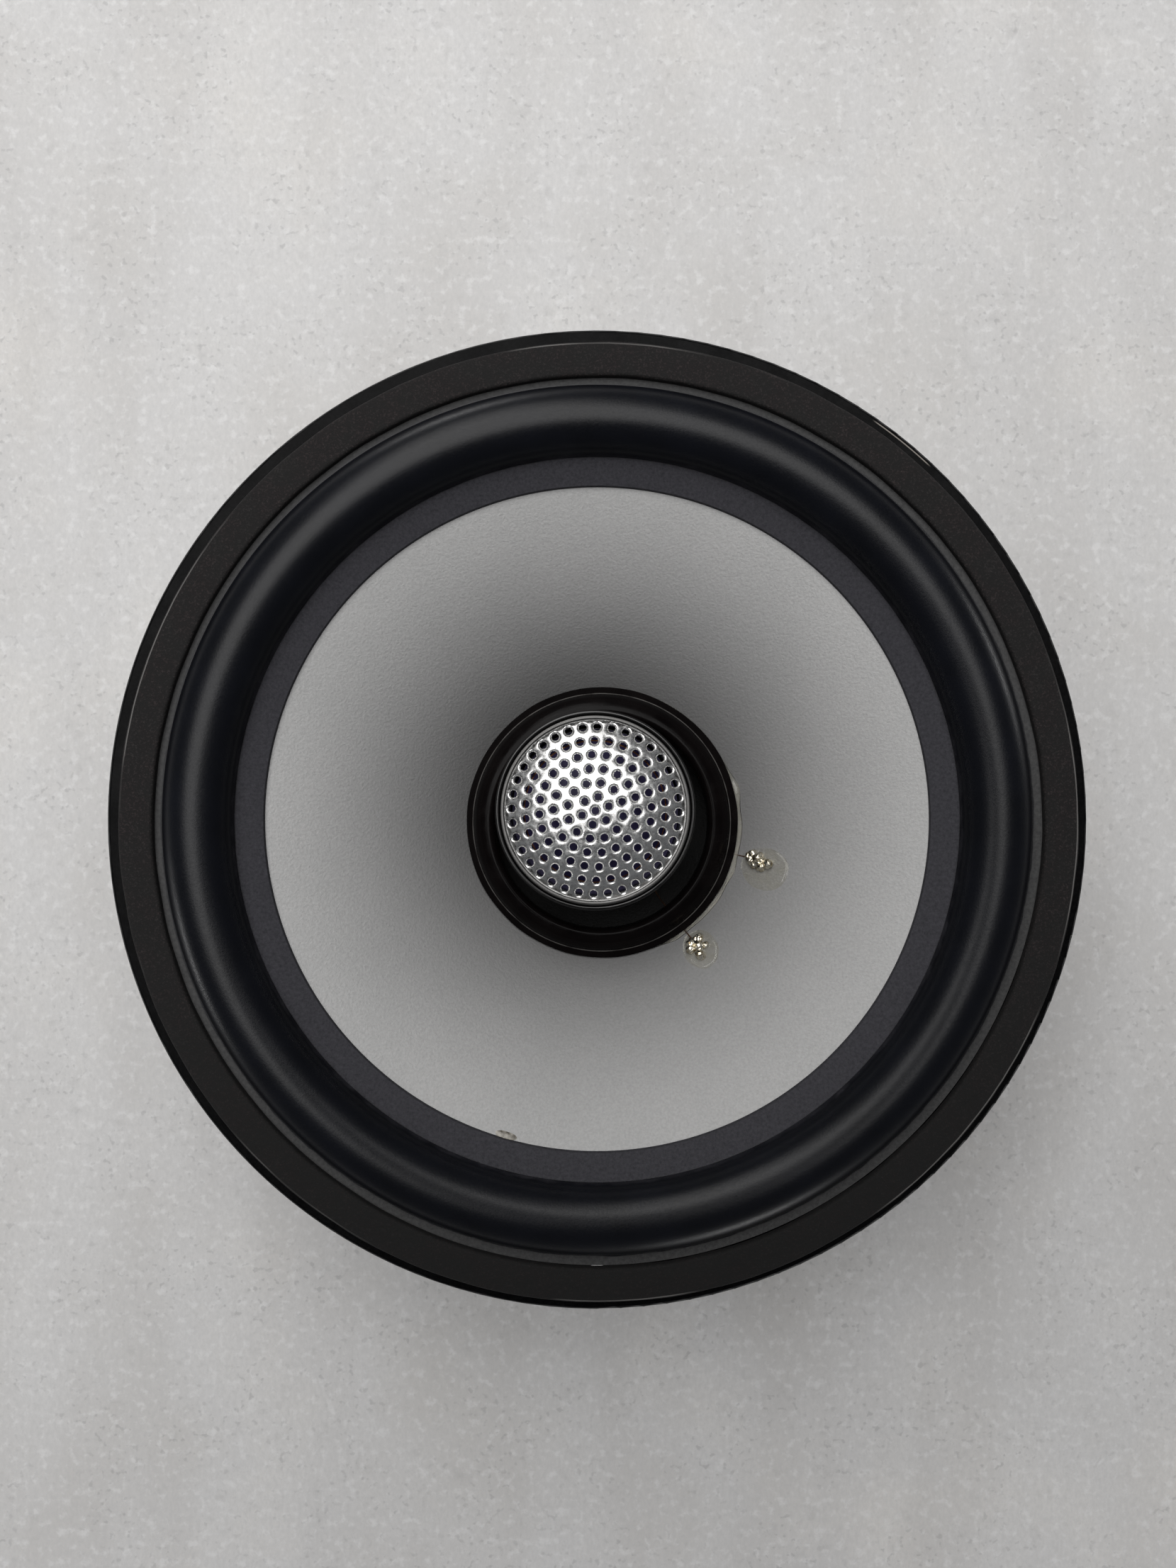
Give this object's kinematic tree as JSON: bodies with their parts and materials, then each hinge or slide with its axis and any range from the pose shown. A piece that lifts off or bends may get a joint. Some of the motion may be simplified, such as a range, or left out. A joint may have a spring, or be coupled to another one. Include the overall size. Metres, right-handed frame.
{
  "type": "coaxial car speaker",
  "caption": "Round coaxial car speaker: paper cone on a rubber half-roll surround in a pressed basket, with a post-mounted dome tweeter under a perforated grille.",
  "frame": {"origin": "centre of the mounting flange's rear seating face, on the cone's axis", "axes": "+Z along the cone's axis towards the listener; the terminals lie between +X and -Y"},
  "size_m": [0.165, 0.165, 0.07],
  "materials": {
    "basket_paint": "black stoved enamel, glossy",
    "zinc_steel": "zinc plated",
    "yoke_steel": "zinc plated, turned",
    "gasket_foam": "fine mottled foam",
    "surround_rubber": "semi-matt moulded rubber",
    "spider_cloth": "resin-dipped cotton",
    "cone_pulp": "pale grey, fine pebbled",
    "ring_plastic": "black, satin",
    "clear_glue": "clear rubbery glue",
    "solder": "bright lumpy tin solder",
    "eyelet_brass": "plain",
    "copper_wire": "enamelled copper",
    "former_kapton": "amber film",
    "ferrite": "ground ferrite",
    "neodymium": "nickel plated",
    "post_aluminium": "turned",
    "pod_plastic": "black, glossy",
    "grille_metal": "bright silver plating on pressed sheet",
    "trim_metal": "satin silver",
    "dome_silk": "coated silk, dark indigo",
    "board_paper": "phenolic paper board",
    "tinned_brass": "tin plated",
    "capacitor_sleeve": "shrunk plastic sleeve",
    "tinsel_braid": "woven copper tinsel",
    "wire_sleeve": "black insulation"
  },
  "bodies": {
    "basket": {"basket": "basket_paint", "basket_rivets": "zinc_steel", "front_gasket": "gasket_foam", "surround": "surround_rubber", "spider": "spider_cloth", "top_plate": "zinc_steel", "ring_magnet": "ferrite", "yoke": "yoke_steel", "tweeter_post": "post_aluminium", "post_washer": "zinc_steel", "post_nut": "zinc_steel", "terminal_board": "board_paper", "terminal_rivets": "tinned_brass", "blade_positive": "tinned_brass", "blade_negative": "tinned_brass", "crossover_capacitor": "capacitor_sleeve", "capacitor_leads": "tinned_brass", "tweeter_feed_wires": "wire_sleeve", "tinsel_lead_upper": "tinsel_braid", "tinsel_lead_lower": "tinsel_braid", "tweeter_housing": "pod_plastic", "grille_clamp_ring": "trim_metal", "tweeter_grille": "grille_metal", "tweeter_pot": "zinc_steel", "tweeter_magnet": "neodymium", "tweeter_pole_plate": "zinc_steel", "tweeter_mounting_ring": "pod_plastic", "tweeter_suspension": "dome_silk"},
    "cone_assembly": {"cone": "cone_pulp", "voice_coil_former": "former_kapton", "voice_coil_winding": "copper_wire", "dust_ring": "ring_plastic", "ring_glue_bead": "clear_glue", "lead_eyelets": "eyelet_brass", "solder_joints": "solder", "glue_caps": "clear_glue", "voice_coil_leads": "copper_wire"},
    "tweeter_diaphragm": {"tweeter_dome": "dome_silk", "tweeter_former": "former_kapton", "tweeter_winding": "copper_wire"}
  },
  "joints": [
    {"name": "cone_travel", "type": "slide", "parent": "basket", "child": "cone_assembly", "axis": [0, 0, 1], "range_m": [-0.004, 0.004], "stiffness_N_per_m": 1000, "deforming": ["surround", "spider", "tinsel_lead_upper", "tinsel_lead_lower"]},
    {"name": "tweeter_travel", "type": "slide", "parent": "basket", "child": "tweeter_diaphragm", "axis": [0, 0, 1], "range_m": [-0.00025, 0.00025], "stiffness_N_per_m": 60, "deforming": ["tweeter_suspension"]}
  ]
}
